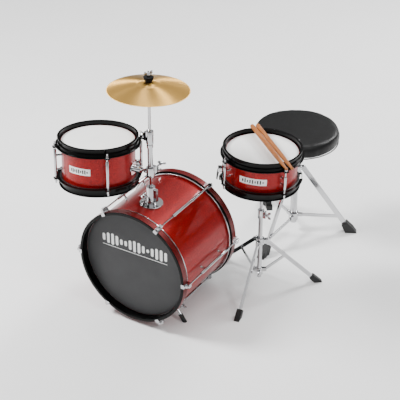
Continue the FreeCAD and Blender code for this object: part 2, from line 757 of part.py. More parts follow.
def lug_ring(axis, z, ring_r, bore_r, height, feet, points_at, pin_half, ears):
    """Collar round a tube with a pair of ears and a pin for each leg or brace."""
    ring = rod(axis + Z * (z - height / 2), axis + Z * (z + height / 2), ring_r)
    solids = [ring]
    for degrees in feet:
        pivot = radial(axis, degrees, points_at)
        inner = radial(axis, degrees, (ring_r - 3, points_at[1]))
        across = radial(axis, degrees, (0, 0), 1.0) - axis
        for offset in ears:
            middle = (pivot + inner) * 0.5 + across * offset
            ear = block(at(0, 0, 0), (pivot - inner).Length + 10, 3.0, 13.0)
            ear = moved(ear, Placement(middle, Rotation(Z, degrees)))
            solids.append(ear)
        solids.append(rod(pivot + across * pin_half[0], pivot + across * pin_half[1], 2.0))
    collar = join(*solids)
    return collar.cut(rod(axis + Z * (z - 60), axis + Z * (z + 60), bore_r))


def stand_points():
    return tripod_points(STAND_HUB_Z, 24.0, STAND_FOOT_R, STAND_BRACE_AT, STAND_COLLAR_Z, 22.0)


def stand_point(z, dx=0.0, dy=0.0):
    return STAND + at(dx, dy, z)


def stand_lower_tube():
    """Outer tube with the height clamp on top and the fixed lower collar for the braces."""
    tube = rod(stand_point(STAND_TUBE_BOTTOM), stand_point(STAND_TUBE_TOP), 8.0)
    clamp = rod(stand_point(STAND_TUBE_TOP - 22), stand_point(STAND_TUBE_TOP + 10), 12.0)
    ear = block(stand_point(STAND_TUBE_TOP - 6, 14), 16, 12, 26)
    offset = BRACE_OFFSET
    ears = [offset - 3.8, offset + 3.8]
    collar = lug_ring(STAND, STAND_COLLAR_Z, 12.5, 7.9, 26.0, STAND_FEET, (22.0, STAND_COLLAR_Z),
                      (offset - 5.3, offset + 5.3), ears)
    lower = join(tube, clamp, ear, collar)
    lower = lower.cut(rod(stand_point(STAND_TUBE_BOTTOM + 30), stand_point(400), 5.58))
    return lower.cut(rod(stand_point(STAND_TUBE_TOP - 6), stand_point(STAND_TUBE_TOP - 6, 60), 3.08))


def stand_wing():
    return wing_screw(stand_point(STAND_TUBE_TOP - 6, 6.2), X, 18.0, 3.0, 28.0)


def stand_hub():
    """Sliding collar that carries the legs."""
    return lug_ring(STAND, STAND_HUB_Z, 14.0, 8.08, 26.0, STAND_FEET, (24.0, STAND_HUB_Z),
                    (-9.0, 9.0), [-6.0, 6.0])


def stand_basket():
    """Upper tube with a three-armed cradle; each arm ends in a rubber-tipped rest."""
    seat = SNARE_RIM.z - SNARE_HEIGHT
    tube = rod(stand_point(150), stand_point(seat - 44), 5.5)
    hub = rod(stand_point(seat - 62), stand_point(seat - 34), 12.0)
    solids = [tube, hub]
    for degrees in (-51, 69, 189):
        root = radial(STAND, degrees, (6, seat - 42))
        knee = radial(STAND, degrees, (126, seat - 17))
        tip = radial(STAND, degrees, (146, seat - 17))
        solids += [rod(root, knee, 4.0), rod(knee, tip, 4.0), Part.makeSphere(4.0, knee)]
        solids.append(basket_tip(degrees, seat))
    return join(*solids)


def basket_tip(degrees, seat):
    """Rubber rest under the hoop."""
    pad = block(at(143, 0, seat - 14), 32, 20, 17)
    return moved(spun(pad, degrees), Placement(STAND, Rotation()))


def make_stand():
    points = stand_points()
    keep("stand_basket", stand_basket())
    keep("stand_lower_tube", stand_lower_tube())
    keep("stand_wing_screw", stand_wing())
    keep("stand_leg_hub", stand_hub())
    for index, degrees in enumerate(STAND_FEET, 1):
        keep("stand_leg_%d" % index, tripod_leg(STAND, degrees, points, STAND_STRAP, STAND_PAD, 22.0))
        keep("stand_brace_%d" % index, tripod_brace(STAND, degrees, points, STAND_BRACE_W))


# ---------------------------------------------------------------- throne

def throne_point(z, dx=0.0, dy=0.0):
    return THRONE + at(dx, dy, z)


def throne_points():
    return tripod_points(THRONE_HUB_Z, 30.0, THRONE_FOOT_R, THRONE_BRACE_AT, THRONE_COLLAR_Z, 30.0)


def seat_cushion():
    """Padded round seat on its board."""
    low = SEAT_TOP - SEAT_THICK
    flat = turned([(0.001, low), (SEAT_R - 8, low), (SEAT_R, low + 8), (SEAT_R, SEAT_TOP - 14),
                   (SEAT_R - 14, SEAT_TOP), (0.001, SEAT_TOP)])
    bracket = rod(at(0, 0, low - 26), at(0, 0, low), 17.0)
    flange = rod(at(0, 0, low - 5), at(0, 0, low), 55.0)
    return moved(flat, Placement(THRONE, Rotation())), moved(
        join(bracket, flange).cut(rod(at(0, 0, low - 30), at(0, 0, low - 6), THRONE_POST_R + 0.08)),
        Placement(THRONE, Rotation()))


def seat_post():
    low = SEAT_TOP - SEAT_THICK
    return rod(throne_point(170), throne_point(low - 6.3), THRONE_POST_R)


def throne_tube():
    """Outer tube with the height clamp and the fixed upper hub for the legs."""
    tube = rod(throne_point(40), throne_point(THRONE_HUB_Z + 20), THRONE_TUBE_R)
    clamp = rod(throne_point(THRONE_HUB_Z + 16), throne_point(THRONE_HUB_Z + 48), 18.0)
    ear = block(throne_point(THRONE_HUB_Z + 32, 0, -20), 14, 18, 26)
    hub = lug_ring(THRONE, THRONE_HUB_Z, 19.0, 13.0, 30.0, THRONE_FEET, (30.0, THRONE_HUB_Z),
                   (-9.0, 9.0), [-6.0, 6.0])
    outer = join(tube, clamp, ear, hub)
    outer = outer.cut(rod(throne_point(100), throne_point(400), THRONE_POST_R + 0.08))
    screw_z = THRONE_HUB_Z + 32
    return outer.cut(rod(throne_point(screw_z), throne_point(screw_z, 0, -60), 3.58))


def throne_wing():
    tip = throne_point(THRONE_HUB_Z + 32, 0, -THRONE_POST_R - 0.7)
    return wing_screw(tip, Y * -1, 22.0, 3.5, 34.0)


def throne_collar():
    """Sliding lower collar that carries the braces."""
    offset = BRACE_OFFSET
    return lug_ring(THRONE, THRONE_COLLAR_Z, 19.0, THRONE_TUBE_R + 0.08, 30.0, THRONE_FEET,
                    (30.0, THRONE_COLLAR_Z), (offset - 5.3, offset + 5.3), [offset - 3.8, offset + 3.8])


def make_throne():
    cushion, bracket = seat_cushion()
    points = throne_points()
    keep("seat_cushion", cushion)
    keep("seat_bracket", bracket)
    keep("seat_post", seat_post())
    keep("throne_tube", throne_tube())
    keep("throne_wing_screw", throne_wing())
    keep("throne_collar", throne_collar())
    for index, degrees in enumerate(THRONE_FEET, 1):
        keep("throne_leg_%d" % index, tripod_leg(THRONE, degrees, points, THRONE_STRAP, THRONE_PAD, 36.0))
        keep("throne_brace_%d" % index, tripod_brace(THRONE, degrees, points, THRONE_BRACE_W))


# ---------------------------------------------------------------- pedal and sticks

def pedal_frame():
    """Base plate on the floor, two uprights with the axle's bearings, clamp on the rear hoop."""
    top = PEDAL_AXLE_Z + 14
    plate = block(at(0, 318, 2.0), 70, 236, 4.0)
    front = block(at(0, 205, 6.0), 104, 30, 12.0)
    uprights = [block(at(s * 46, PEDAL_AXLE_Y, top / 2 + 2), 8, 18, top - 4) for s in (1, -1)]
    feet = [block(at(s * 46, 222, 7), 8, 56, 14) for s in (1, -1)]
    heel = [block(at(s * 24, PEDAL_HEEL_Y, 10), 8, 16, 14) for s in (1, -1)]
    pin = rod(at(-28, PEDAL_HEEL_Y, 12), at(28, PEDAL_HEEL_Y, 12), 2.5)
    frame = join(plate, front, *uprights, *feet, *heel, pin, *pedal_jaws())
    bore = rod(at(-60, PEDAL_AXLE_Y, PEDAL_AXLE_Z), at(60, PEDAL_AXLE_Y, PEDAL_AXLE_Z), 4.08)
    return frame.cut(bore)


def pedal_jaws():
    """Lower jaw under the rear hoop, upper jaw inside it and the web that joins them."""
    lower = block(at(0, 174, 7.4), 40, 40, 14.8)
    upper = block(at(0, 174, 30), 30, 34, 5)
    web = block(at(0, 190, 22), 40, 8, 42)
    return [lower, upper, web]


def pedal_board():
    """Foot board hinged at the heel, rising towards the axle."""
    heel = at(0, PEDAL_HEEL_Y, 12)
    hub = rod(heel - X * 19, heel + X * 19, 5.5)
    plate = slab([(PEDAL_HEEL_Y + 2, 8.5), (PEDAL_HEEL_Y + 2, 17.5), (256, 62), (254, 57.5)], 76.0, "yz")
    plate = plate.cut([block(at(s * 33, PEDAL_HEEL_Y + 4, 14), 28, 30, 30) for s in (1, -1)])
    board = join(hub, plate)
    return board.cut(rod(heel - X * 50, heel + X * 50, 2.58))


def pedal_beater():
    """Axle, cam and beater shaft with a round felt head, leaning back from the drum."""
    axle_at = at(0, PEDAL_AXLE_Y, PEDAL_AXLE_Z)
    axle = rod(axle_at - X * 56, axle_at + X * 56, 4.0)
    hub = rod(axle_at - X * 14, axle_at + X * 14, 12.0)
    lean = math.radians(PEDAL_BEATER_TILT)
    up = at(0, math.sin(lean), math.cos(lean))
    shaft = rod(axle_at, axle_at + up * (PEDAL_BEATER_REACH + 10), 3.0)
    head_way = at(0, -math.cos(lean), math.sin(lean))
    middle = axle_at + up * PEDAL_BEATER_REACH
    head = rod(middle - head_way * 10, middle + head_way * 30, 20.0)
    return join(axle, hub, shaft, head)


def make_pedal():
    keep("pedal_frame", pedal_frame())
    keep("pedal_footboard", pedal_board())
    keep("pedal_beater", pedal_beater())


def drum_stick(butt, tip):
    """Turned hickory stick: straight butt, tapered shoulder and a small acorn tip."""
    length = (tip - butt).Length
    outline = [(0.001, 0), (STICK_R - 1.5, 0), (STICK_R, 2.5), (STICK_R, length * 0.72), (3.7, length - 13),
               (3.5, length - 11), (5.4, length - 7), (4.8, length - 2), (2.8, length), (0.001, length)]
    return moved(turned(outline), facing(butt, tip - butt))


def stick_ends():
    """Both sticks rest on the snare's rim at two places, with the tips beyond it."""
    frame = snare_frame()
    return (frame.multVec(at(-98.7, 97.8, 8.5)), frame.multVec(at(156.6, -115.9, 6.7)))


def make_sticks():
    start, end = stick_ends()
    keep("drumstick_left", drum_stick(start, end))
    beside = snare_frame().Rotation.multVec(at(14.0, 14.2, 0))
    keep("drumstick_right", drum_stick(start + beside, end + beside))


make_bass()
make_post()
make_tom()
make_snare()
make_stand()
make_throne()
make_pedal()
make_sticks()

if __name__ == "__main__":
    os.makedirs("parts", exist_ok=True)
    for node, shape in parts.items():
        shape.translate(KIT_CENTRE * -1)
        if not shape.isValid():
            print("invalid", node)
        shape.exportStep("parts/" + node + ".step")
    whole = Part.makeCompound(list(parts.values())).optimalBoundingBox(False)
    print(len(parts), "nodes", whole)
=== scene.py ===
import math

import bmesh
import bpy
from mathutils import Matrix, Vector


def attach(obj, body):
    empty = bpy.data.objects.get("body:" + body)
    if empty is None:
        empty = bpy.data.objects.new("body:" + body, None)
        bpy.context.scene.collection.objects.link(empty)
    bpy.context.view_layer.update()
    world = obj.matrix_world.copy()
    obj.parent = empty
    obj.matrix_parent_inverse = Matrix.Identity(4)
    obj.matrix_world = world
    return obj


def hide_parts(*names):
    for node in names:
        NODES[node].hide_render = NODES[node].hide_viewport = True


# Junior acoustic drum kit. Lengths are kit millimetres: the bass drum's axis runs along Y over
# x = 0 and the floor is z = 0. at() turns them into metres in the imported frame.

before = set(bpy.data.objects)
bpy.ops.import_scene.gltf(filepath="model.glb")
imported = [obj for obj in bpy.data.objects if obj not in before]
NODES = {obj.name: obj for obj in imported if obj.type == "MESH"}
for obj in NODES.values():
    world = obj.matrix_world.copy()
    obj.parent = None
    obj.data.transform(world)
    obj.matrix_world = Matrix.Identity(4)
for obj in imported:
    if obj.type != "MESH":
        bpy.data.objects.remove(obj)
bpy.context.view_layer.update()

MM = 0.001
KIT_CENTRE = Vector((67.51, 290.39, 0.0))

# ---- the drums' places, the same as in the CAD
BASS_AXIS_Z = 231.3
BASS_HEAD_Y = 150.5
MARK_Z = 74.0
MARK_HALF = 128.0
TOM_RIM = (-185.3, -81.8, 660.9)
TOM_LEAN = (-3.02, 5.47)
TOM_HEIGHT = 173.2
SNARE_RIM = (275.0, 251.0, 592.7)
SNARE_LEAN = (0.98, 1.87)
SNARE_HEIGHT = 144.1
DRUM_SHELL_R = 127.0
HEAD_DROP = 15.5

# ---- drum heads: film radius, then each metal ring's inner and outer radius, top and bottom
BASS_FILM_R = 205.4
BASS_RING = (204.9, 211.6, BASS_HEAD_Y - 2.2, BASS_HEAD_Y - 8.5)
SMALL_FILM_R = 128.2
SMALL_RING = (DRUM_SHELL_R + 0.4, 135.5, -19.9, -29.0)

# ---- cymbal, sticks and throne
CYMBAL_PIVOT = (8.5, -53.3, 899.0)
CYMBAL_LEAN = (-0.72, 3.97)
CYMBAL_R = 138.9
STICK_R = 7.9
THRONE = (200.3, 660.8)
SEAT_R = 162.0
SEAT_TOP = 458.4
SEAT_THICK = 54.0

# ---- tripods: the feet's directions, and each leg's hub pivot (radius, height), foot radius and
# length of rubber foot
STAND = (275.0, 251.3)
STAND_FEET = (-80.56, 39.44, 159.44)
STAND_LEG_HUB = (24.0, 200.0)
STAND_FOOT_R = 213.2
STAND_RUBBER = 22.0
THRONE_FEET = (28.0, 148.0, 268.0)
THRONE_LEG_HUB = (30.0, 285.0)
THRONE_FOOT_R = 221.6
THRONE_RUBBER = 36.0
FOOT_AXIS_Z = 10.0
CRADLE_REST_R = 126.8

# ---- spurs (slope from level and length of rubber tip) and pedal
SPUR_Y = -78.0
SPUR_SLOPE = 56.0
SPUR_RUBBER = 31.2
BEATER_AXLE = (0.0, 215.0, 125.0)
BEATER_FELT_FROM = 107.0


def at(x, y, z):
    """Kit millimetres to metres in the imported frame."""
    return (Vector((x, y, z)) - KIT_CENTRE) * MM


def leaning(origin, lean):
    """Matrix at a rim's centre whose Z leans by two angles towards +X and +Y."""
    normal = Vector((math.tan(math.radians(lean[0])), math.tan(math.radians(lean[1])), 1.0))
    turn = Vector((0, 0, 1)).rotation_difference(normal)
    return Matrix.Translation(at(*origin)) @ turn.to_matrix().to_4x4()


TOM = leaning(TOM_RIM, TOM_LEAN)
SNARE = leaning(SNARE_RIM, SNARE_LEAN)
CYMBAL = leaning(CYMBAL_PIVOT, CYMBAL_LEAN)
BASS_FRONT = Matrix.Translation(at(0, 0, BASS_AXIS_Z)) @ Matrix.Rotation(math.radians(90), 4, "X")
BASS_REAR = Matrix.Translation(at(0, 0, BASS_AXIS_Z)) @ Matrix.Rotation(math.radians(-90), 4, "X")


# ---------------------------------------------------------------- material helpers

def colour(code, alpha=1.0):
    """An sRGB hex colour such as "C41A1E" as linear RGBA."""
    channels = []
    for start in (0, 2, 4):
        value = int(code[start:start + 2], 16) / 255.0
        channels.append(value / 12.92 if value <= 0.04045 else ((value + 0.055) / 1.055) ** 2.4)
    return (*channels, alpha)


def node(tree, kind, inputs=None, **settings):
    """Add one node; inputs gives each socket a value or the output that feeds it."""
    made = tree.nodes.new(kind)
    for name, value in settings.items():
        setattr(made, name, value)
    for socket, value in (inputs or {}).items():
        if isinstance(value, bpy.types.NodeSocket):
            tree.links.new(value, made.inputs[socket])
        else:
            made.inputs[socket].default_value = value
    return made


def finish(name, **values):
    """A new material and its shader, whose sockets take the given values."""
    mat = bpy.data.materials.new(name)
    mat.use_nodes = True
    shader = mat.node_tree.nodes["Principled BSDF"]
    for socket, value in values.items():
        shader.inputs[socket.replace("_", " ")].default_value = value
    return mat, mat.node_tree, shader


def ramp(tree, factor, stops):
    """Colour ramp through (position, colour) stops."""
    made = node(tree, "ShaderNodeValToRGB", {"Fac": factor})
    made.color_ramp.elements[0].position = stops[0][0]
    made.color_ramp.elements[0].color = stops[0][1]
    made.color_ramp.elements[1].position = stops[-1][0]
    made.color_ramp.elements[1].color = stops[-1][1]
    for position, value in stops[1:-1]:
        made.color_ramp.elements.new(position).color = value
    return made.outputs["Color"]


def place(tree):
    """The point on the piece, in metres."""
    return node(tree, "ShaderNodeTexCoord").outputs["Object"]


def grain(tree, size_mm, detail=3.0, rough=0.55):
    """Noise whose features are about size_mm across."""
    settings = {"Vector": place(tree), "Scale": 1.0 / (size_mm * MM), "Detail": detail, "Roughness": rough}
    return node(tree, "ShaderNodeTexNoise", settings).outputs["Fac"]


def bump(tree, shader, height, depth_mm, strength=1.0):
    """Bump the shader by a height that goes from 0 to depth_mm."""
    inputs = {"Height": height, "Distance": depth_mm * MM, "Strength": strength}
    made = node(tree, "ShaderNodeBump", inputs)
    tree.links.new(made.outputs["Normal"], shader.inputs["Normal"])


def spread(tree, factor, low, high):
    """Map 0..1 to a range of values."""
    inputs = {"Value": factor, "To Min": low, "To Max": high}
    return node(tree, "ShaderNodeMapRange", inputs).outputs["Result"]


# ---------------------------------------------------------------- materials

CHROME_TONE = "C0C0C2"
CHROME_ROUGH = 0.09
RUBBER_TONE = "121212"
RUBBER_ROUGH = 0.62


def sparkle_wrap(name, shade):
    """Red glitter PVC wrap: flakes 0.9 mm across under clear plastic, so the eye sees a deep shine.
    shade scales the flakes' reds; below 1, as on the hoop inlay, it is painted shade on a copy of the same
    wrap."""
    mat, tree, shader = finish(name, Metallic=0.35, Roughness=0.4, Coat_Weight=0.4,
                               Coat_Roughness=0.04, Coat_IOR=1.4, Specular_IOR_Level=0.2)
    flakes = node(tree, "ShaderNodeTexVoronoi", {"Vector": place(tree), "Scale": 1.0 / (0.9 * MM)})
    pick = node(tree, "ShaderNodeSeparateColor", {"Color": flakes.outputs["Color"]})
    stops = []
    for position, code in ((0.0, "400002"), (0.45, "800103"), (0.8, "9C0205"), (1.0, "D81E18")):
        stops.append((position, (*(Vector(colour(code)[:3]) * shade), 1.0)))
    tree.links.new(ramp(tree, pick.outputs["Red"], stops), shader.inputs["Base Color"])
    bump(tree, shader, pick.outputs["Green"], 0.05, 0.2)
    return mat


def hoop_lacquer():
    """Black gloss lacquer: a thick sprayed coat with slight orange peel."""
    mat, tree, shader = finish("black_gloss_lacquer", Base_Color=colour("030303"), IOR=1.4,
                               Specular_IOR_Level=0.2)
    tree.links.new(spread(tree, grain(tree, 9.0), 0.14, 0.24), shader.inputs["Roughness"])
    bump(tree, shader, grain(tree, 2.5), 0.03, 0.5)
    return mat


def coated_film(name, code, low, high, specular):
    """Polyester drum head with a sprayed matt coat: even, very slightly sandy."""
    mat, tree, shader = finish(name, Specular_IOR_Level=specular)
    base = Vector(colour(code)[:3])
    stops = [(0.3, (*(base * low), 1.0)), (0.7, (*(base * high), 1.0))]
    tree.links.new(ramp(tree, grain(tree, 60.0, 2.0), stops), shader.inputs["Base Color"])
    tree.links.new(spread(tree, grain(tree, 8.0), 0.42, 0.55), shader.inputs["Roughness"])
    bump(tree, shader, grain(tree, 0.9, 2.0), 0.03, 0.35)
    return mat


def chrome_plate():
    """Chrome plate on drawn steel: mirror bright, with faint wipe marks."""
    mat, tree, shader = finish("chrome_plated_steel", Base_Color=colour(CHROME_TONE), Metallic=1.0)
    tree.links.new(spread(tree, grain(tree, 14.0), 0.05, 0.14), shader.inputs["Roughness"])
    bump(tree, shader, grain(tree, 6.0, 1.0), 0.02, 0.15)
    return mat


def chrome_or(tree, shader, other, code, rough):
    """Chrome, and where the factor other is 1, a second finish that isn't metal."""
    mix = node(tree, "ShaderNodeMix", {"Factor": other, 6: colour(CHROME_TONE), 7: colour(code)},
               data_type="RGBA")
    tree.links.new(mix.outputs[2], shader.inputs["Base Color"])
    metal = node(tree, "ShaderNodeMath", {0: 1.0, 1: other}, operation="SUBTRACT")
    tree.links.new(metal.outputs["Value"], shader.inputs["Metallic"])
    gloss = node(tree, "ShaderNodeMix", {"Factor": other, 2: CHROME_ROUGH, 3: rough})
    tree.links.new(gloss.outputs[0], shader.inputs["Roughness"])


def tipped_chrome(name, start, way, ribs_mm=4.0):
    """Chrome leg that ends in a ribbed rubber foot, past a plane across it at start."""
    mat, tree, shader = finish(name)
    inputs = {0: place(tree), 1: tuple(way)}
    along = node(tree, "ShaderNodeVectorMath", inputs, operation="DOT_PRODUCT").outputs["Value"]
    past = {0: along, 1: start.dot(way)}
    rubber = node(tree, "ShaderNodeMath", past, operation="GREATER_THAN").outputs["Value"]
    chrome_or(tree, shader, rubber, RUBBER_TONE, RUBBER_ROUGH)
    turns = node(tree, "ShaderNodeMath", {0: along, 1: math.tau / (ribs_mm * MM)}, operation="MULTIPLY")
    wave = node(tree, "ShaderNodeMath", {0: turns.outputs["Value"]}, operation="SINE")
    ribs = node(tree, "ShaderNodeMath", {0: wave.outputs["Value"], 1: rubber}, operation="MULTIPLY")
    bump(tree, shader, ribs.outputs["Value"], 0.35, 0.6)
    return mat


def vinyl_leathercloth():
    """Embossed PVC leathercloth: soft sheen and a pebble of 1.8 mm grains with fine creases."""
    mat, tree, shader = finish("black_pvc_leathercloth", IOR=1.45, Specular_IOR_Level=0.3)
    cells = node(tree, "ShaderNodeTexVoronoi", {"Vector": place(tree), "Scale": 1.0 / (1.8 * MM)},
                 feature="DISTANCE_TO_EDGE").outputs["Distance"]
    shade = ramp(tree, grain(tree, 45.0, 3.0), [(0.35, colour("060606")), (0.7, colour("0A0A0B"))])
    tree.links.new(shade, shader.inputs["Base Color"])
    tree.links.new(spread(tree, grain(tree, 12.0), 0.36, 0.5), shader.inputs["Roughness"])
    height = node(tree, "ShaderNodeMath", {0: cells, 1: 0.12}, operation="MINIMUM")
    scaled = node(tree, "ShaderNodeMath", {0: height.outputs["Value"], 1: 8.0}, operation="MULTIPLY")
    bump(tree, shader, scaled.outputs["Value"], 0.12, 0.55)
    return mat


def hickory(name, way):
    """Waxed hickory: straight brown grain along the stick, fine enough to look drawn."""
    mat, tree, shader = finish(name, Coat_Weight=0.08, Coat_Roughness=0.35)
    turn = way.to_track_quat("X", "Z").to_euler()
    along = node(tree, "ShaderNodeMapping", {"Vector": place(tree), "Rotation": tuple(turn),
                                             "Scale": (14.0, 1.0, 1.0)}, vector_type="TEXTURE")
    lines = node(tree, "ShaderNodeTexNoise", {"Vector": along.outputs["Vector"], "Scale": 1.0 / (2.2 * MM),
                                              "Detail": 4.0, "Roughness": 0.6}).outputs["Fac"]
    wood = ramp(tree, lines, [(0.3, colour("7A3E12")), (0.5, colour("9C5A24")), (0.72, colour("B4763A"))])
    tree.links.new(wood, shader.inputs["Base Color"])
    tree.links.new(spread(tree, lines, 0.38, 0.55), shader.inputs["Roughness"])
    bump(tree, shader, lines, 0.06, 0.4)
    return mat


def lathed_bronze():
    """Lathed bronze sheet: fine tool grooves, drawn 1.6 mm apart so that they show, spread the
    light across them, so the eye sees bright fans that turn round the bell."""
    mat, tree, shader = finish("lathed_cymbal_bronze", Metallic=1.0, Anisotropic=0.9)
    centre = CYMBAL.to_translation()
    turn = CYMBAL.to_euler()
    local = node(tree, "ShaderNodeMapping", {"Vector": place(tree), "Location": tuple(centre),
                                             "Rotation": tuple(turn)}, vector_type="TEXTURE")
    rings = node(tree, "ShaderNodeTexWave", {"Vector": local.outputs["Vector"], "Scale": 196.0,
                                             "Distortion": 0.5, "Detail": 1.0},
                 wave_type="RINGS", rings_direction="Z").outputs["Fac"]
    gold = ramp(tree, rings, [(0.0, colour("C08C34")), (0.5, colour("DEAE56")), (1.0, colour("F4CC80"))])
    tree.links.new(gold, shader.inputs["Base Color"])
    tree.links.new(spread(tree, grain(tree, 25.0), 0.42, 0.52), shader.inputs["Roughness"])
    round_bell = node(tree, "ShaderNodeTangent", direction_type="RADIAL", axis="Z")
    tree.links.new(round_bell.outputs["Tangent"], shader.inputs["Tangent"])
    bump(tree, shader, rings, 0.05, 0.3)
    return mat


def pressed_felt():
    """Pressed black felt: matt and hairy."""
    mat, tree, shader = finish("pressed_black_felt", Roughness=0.95, Sheen_Weight=0.05,
                               Specular_IOR_Level=0.1)
    shade = ramp(tree, grain(tree, 1.6, 5.0), [(0.3, colour("0A0A0A")), (0.7, colour("161616"))])
    tree.links.new(shade, shader.inputs["Base Color"])
    bump(tree, shader, grain(tree, 0.8, 5.0), 0.3, 0.8)
    return mat


def powder_coat():
    """Black powder coat on steel: satin with a fine sandy skin."""
    mat, tree, shader = finish("black_powder_coated_steel", Base_Color=colour("131314"))
    tree.links.new(spread(tree, grain(tree, 7.0), 0.3, 0.42), shader.inputs["Roughness"])
    bump(tree, shader, grain(tree, 0.8, 2.0), 0.05, 0.4)
    return mat


def drawn_steel():
    """Drawn bare steel: brushed along, greyer than the chrome."""
    mat, tree, shader = finish("drawn_bare_steel", Metallic=1.0)
    shade = ramp(tree, grain(tree, 3.0, 4.0), [(0.3, colour("9C9C9A")), (0.7, colour("C2C2C0"))])
    tree.links.new(shade, shader.inputs["Base Color"])
    tree.links.new(spread(tree, grain(tree, 2.0), 0.22, 0.38), shader.inputs["Roughness"])
    return mat


def screen_ink():
    """White screen-printing ink: a thin satin film with a slightly uneven tone."""
    mat, tree, shader = finish("white_screen_ink", Roughness=0.45)
    shade = ramp(tree, grain(tree, 3.0, 4.0), [(0.3, colour("F2F2F0")), (0.7, colour("FCFCFB"))])
    tree.links.new(shade, shader.inputs["Base Color"])
    bump(tree, shader, grain(tree, 1.0), 0.02, 0.3)
    return mat


def floor_paint():
    """Pale studio floor."""
    mat, tree, shader = finish("pale_studio_floor", Roughness=0.9)
    shade = ramp(tree, grain(tree, 400.0, 2.0), [(0.3, colour("F4F4F4")), (0.7, colour("F7F7F7"))])
    tree.links.new(shade, shader.inputs["Base Color"])
    return mat


WRAP = sparkle_wrap("red_glitter_pvc_wrap", 1.12)
# The hoop inlay is the shell's wrap with its reds scaled down to 0.45: painted shade, a darker copy of the
# same wrap.
INLAY_WITH_PAINTED_SHADE = sparkle_wrap("red_glitter_inlay_with_painted_shade", 0.45)
LACQUER = hoop_lacquer()
WHITE_FILM = coated_film("white_coated_drum_head", "F6F6F5", 0.98, 1.02, 0.5)
BLACK_FILM = coated_film("dark_grey_drum_head", "3C3C3D", 0.94, 1.06, 0.2)
CHROME = chrome_plate()
VINYL = vinyl_leathercloth()
BRONZE = lathed_bronze()
FELT = pressed_felt()
POWDER = powder_coat()
STEEL = drawn_steel()
INK = screen_ink()


# ---------------------------------------------------------------- mesh helpers

def piece(name, bm, matrix, mat, body, smooth_deg=35.0):
    """Turn a bmesh in metres into a piece that rides on a body, with its place in its mesh."""
    bmesh.ops.transform(bm, matrix=matrix, verts=bm.verts)
    mesh = bpy.data.meshes.new(name)
    bm.to_mesh(mesh)
    bm.free()
    mesh.shade_smooth()
    mesh.set_sharp_from_angle(angle=math.radians(smooth_deg))
    made = bpy.data.objects.new(name, mesh)
    bpy.context.collection.objects.link(made)
    mesh.materials.append(mat)
    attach(made, body)
    return made


def spun(outline, closed=True, steps=96):
    """Bmesh from an outline of (radius, height) in mm, turned once about Z."""
    bm = bmesh.new()
    points = [bm.verts.new((r * MM, 0.0, z * MM)) for r, z in outline]
    pairs = list(zip(points, points[1:]))
    if closed:
        pairs.append((points[-1], points[0]))
    edges = [bm.edges.new(pair) for pair in pairs]
    bmesh.ops.spin(bm, geom=points + edges, cent=(0, 0, 0), axis=(0, 0, 1), angle=math.tau,
                   steps=steps, use_merge=True)
    bmesh.ops.remove_doubles(bm, verts=bm.verts, dist=1e-6)
    bmesh.ops.recalc_face_normals(bm, faces=bm.faces)
    return bm


def round_edges(bm, width_mm, sharp_deg=40.0, segments=2):
    """Bevel every edge sharper than an angle."""
    sharp = [e for e in bm.edges
             if len(e.link_faces) == 2 and e.calc_face_angle() > math.radians(sharp_deg)]
    bmesh.ops.bevel(bm, geom=sharp, offset=width_mm * MM, segments=segments, profile=0.5, affect="EDGES",
                    material=-1, clamp_overlap=True)


def box_at(bm, centre, size):
    """Add an upright box in mm to a bmesh."""
    matrix = Matrix.Translation(Vector(centre) * MM) @ Matrix.Diagonal((*[s * MM for s in size], 1))
    return bmesh.ops.create_cube(bm, size=1.0, matrix=matrix)["verts"]


# ---------------------------------------------------------------- drum heads

def head_film(name, matrix, body, mat, radius, top, rim_top, nodes):
    """Film with a rolled collar: flat to near its edge, then down and out under the hoop."""
    step = 9.0
    outline = [(0.0, top), (radius - step, top), (radius - 3.0, top - 0.35), (radius - 0.8, top - 1.2),
               (radius, rim_top), (radius - 1.0, rim_top), (radius - 2.0, top - 1.6),
               (radius - step, top - 0.5), (0.0, top - 0.5)]
    made = piece(name, spun(outline, closed=False), matrix, mat, body, 50.0)
    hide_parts(*nodes)


def flesh_ring(name, matrix, body, mat, inner, outer, top, bottom):
    """Metal hoop of a drum head, pressed from strip, with rounded edges."""
    bm = spun([(inner, top), (outer, top), (outer, bottom), (inner, bottom)])
    round_edges(bm, 0.8)
    made = piece(name, bm, matrix, mat, body, 50.0)


def bass_heads():
    """Dark front head, white batter head, and their chromed rings."""
    for name, matrix, mat in (("bass_front_head_film", BASS_FRONT, BLACK_FILM),
                              ("bass_batter_head_film", BASS_REAR, WHITE_FILM)):
        head_film(name, matrix, "bass_drum", mat, BASS_FILM_R, BASS_HEAD_Y, BASS_HEAD_Y - 2.0,
                  ["bass_heads"])
    for name, matrix in (("bass_front_flesh_ring", BASS_FRONT), ("bass_batter_flesh_ring", BASS_REAR)):
        flesh_ring(name, matrix, "bass_drum", CHROME, *BASS_RING)


def small_heads(name, matrix, body, height):
    """Batter and lower heads of the tom or snare drum."""
    flip = matrix @ Matrix.Translation((0, 0, -height * MM)) @ Matrix.Rotation(math.pi, 4, "X")
    node_name = name + "_heads"
    for side, frame_matrix in (("batter", matrix), ("lower", flip)):
        head_film("%s_%s_head_film" % (name, side), frame_matrix, body, WHITE_FILM, SMALL_FILM_R,
                  -HEAD_DROP, -HEAD_DROP - 4.4, [node_name])
        flesh_ring("%s_%s_flesh_ring" % (name, side), frame_matrix, body, POWDER, *SMALL_RING)


# ---------------------------------------------------------------- bass hoops and marks

def hoop_inlays():
    """Red wrap strip let into the outer face of each bass hoop, in a copy of the shell's wrap painted
    darker as shade.
    """
    for name, matrix in (("front_hoop_inlay", BASS_FRONT), ("rear_hoop_inlay", BASS_REAR)):
        bm = spun([(215.6, 152.0), (216.2, 152.2), (216.2, 175.8), (215.6, 176.0)], steps=144)
        made = piece(name, bm, matrix, INLAY_WITH_PAINTED_SHADE, "bass_drum")


